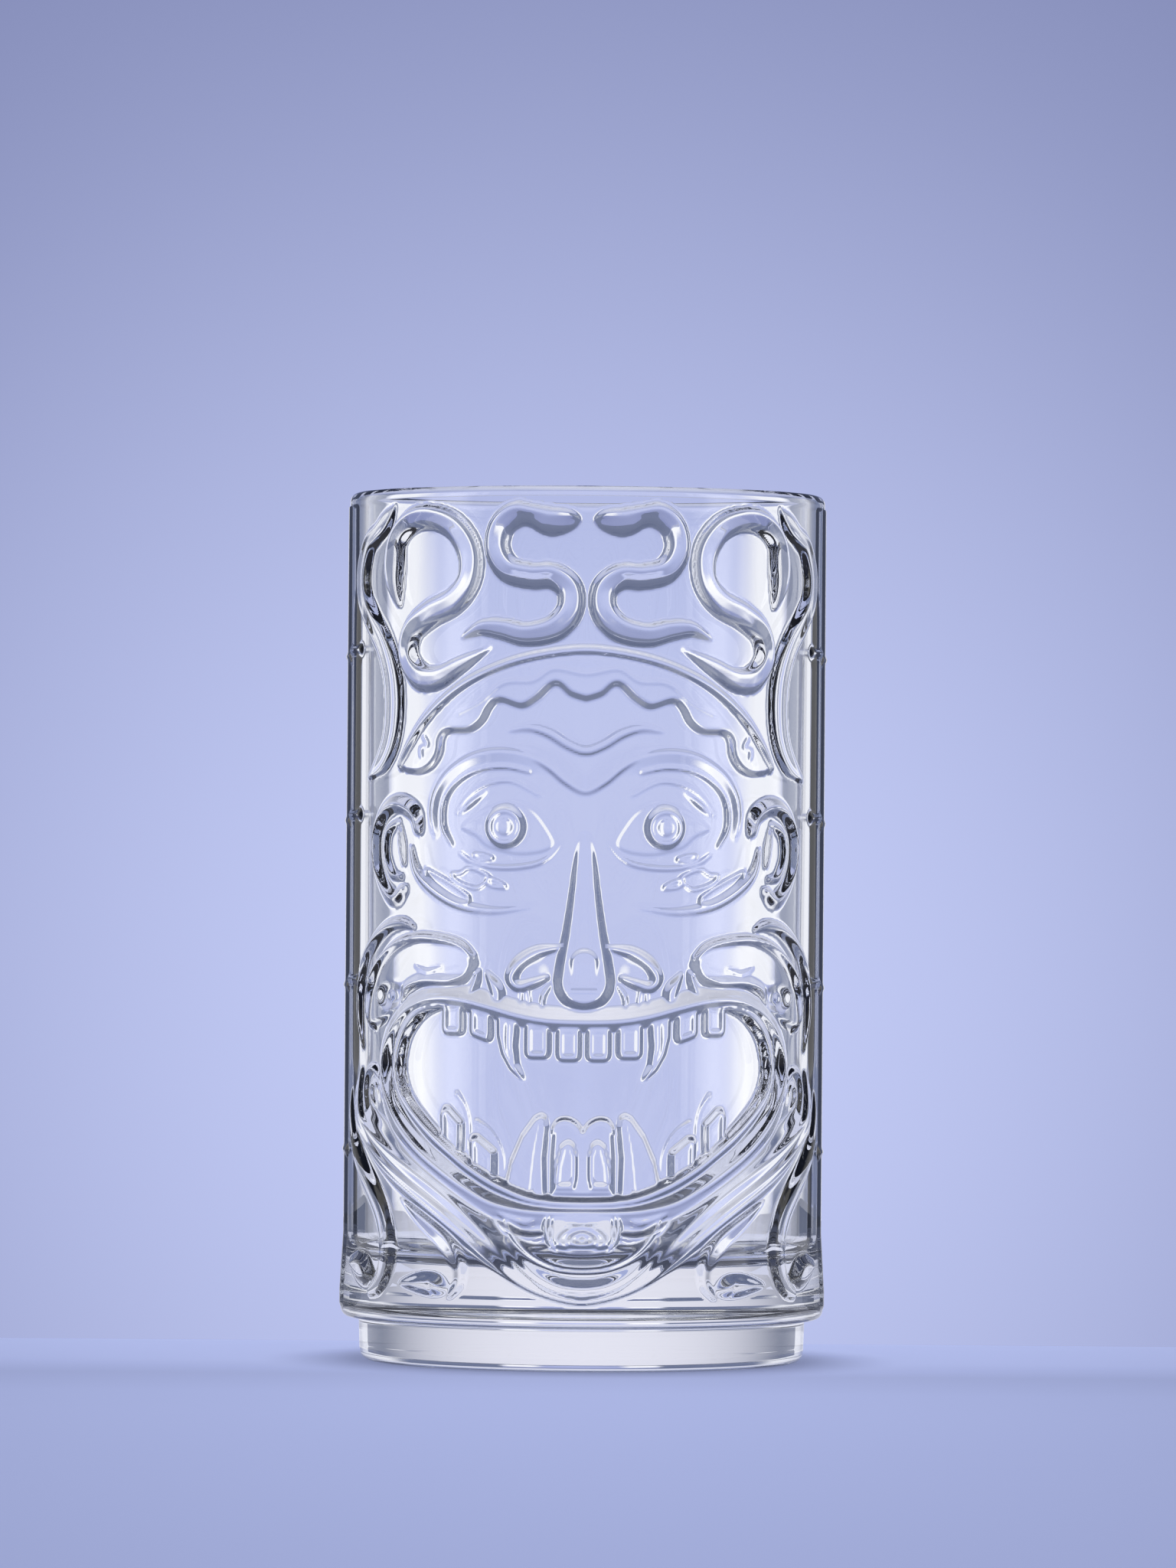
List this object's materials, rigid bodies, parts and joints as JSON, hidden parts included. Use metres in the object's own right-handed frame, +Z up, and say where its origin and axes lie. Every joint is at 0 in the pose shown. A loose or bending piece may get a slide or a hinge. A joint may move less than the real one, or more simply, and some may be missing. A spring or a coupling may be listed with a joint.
{
  "type": "tiki tumbler",
  "caption": "Tall clear pressed-glass tumbler with a grinning carved-mask face, snakes and bamboo stems in relief on its front and a plain back, with a plain rounded lip and a stepped foot.",
  "frame": {"origin": "on the axis of the glass, at the table that its foot stands on", "axes": "+Z up along the axis to the lip; the face looks along -Y; +X is the right-hand side seen from -Y"},
  "size_m": [0.084, 0.0842, 0.148],
  "materials": {
    "clear_glass": "fire-polished clear pressed glass"
  },
  "bodies": {
    "root": {"foot": "clear_glass", "base": "clear_glass", "wall": "clear_glass", "rim": "clear_glass", "crown_snakes_inner": "clear_glass", "crown_snakes_outer": "clear_glass", "temple_snakes": "clear_glass", "head_band": "clear_glass", "band_cord": "clear_glass", "forehead_creases": "clear_glass", "brows": "clear_glass", "eye_sockets": "clear_glass", "eyelids": "clear_glass", "eyeballs": "clear_glass", "irises": "clear_glass", "eye_bags": "clear_glass", "ears": "clear_glass", "nose": "clear_glass", "nostrils": "clear_glass", "cheeks": "clear_glass", "whiskers": "clear_glass", "lips": "clear_glass", "upper_teeth": "clear_glass", "upper_fangs": "clear_glass", "lower_teeth": "clear_glass", "lower_fangs": "clear_glass", "incisors": "clear_glass", "tongue": "clear_glass", "chin": "clear_glass", "chin_folds": "clear_glass", "chin_strap": "clear_glass", "jaw_bands": "clear_glass", "jaw_curls": "clear_glass", "beard_snakes": "clear_glass", "side_snakes": "clear_glass", "bamboo_stems": "clear_glass", "bamboo_rings": "clear_glass"}
  },
  "joints": []
}
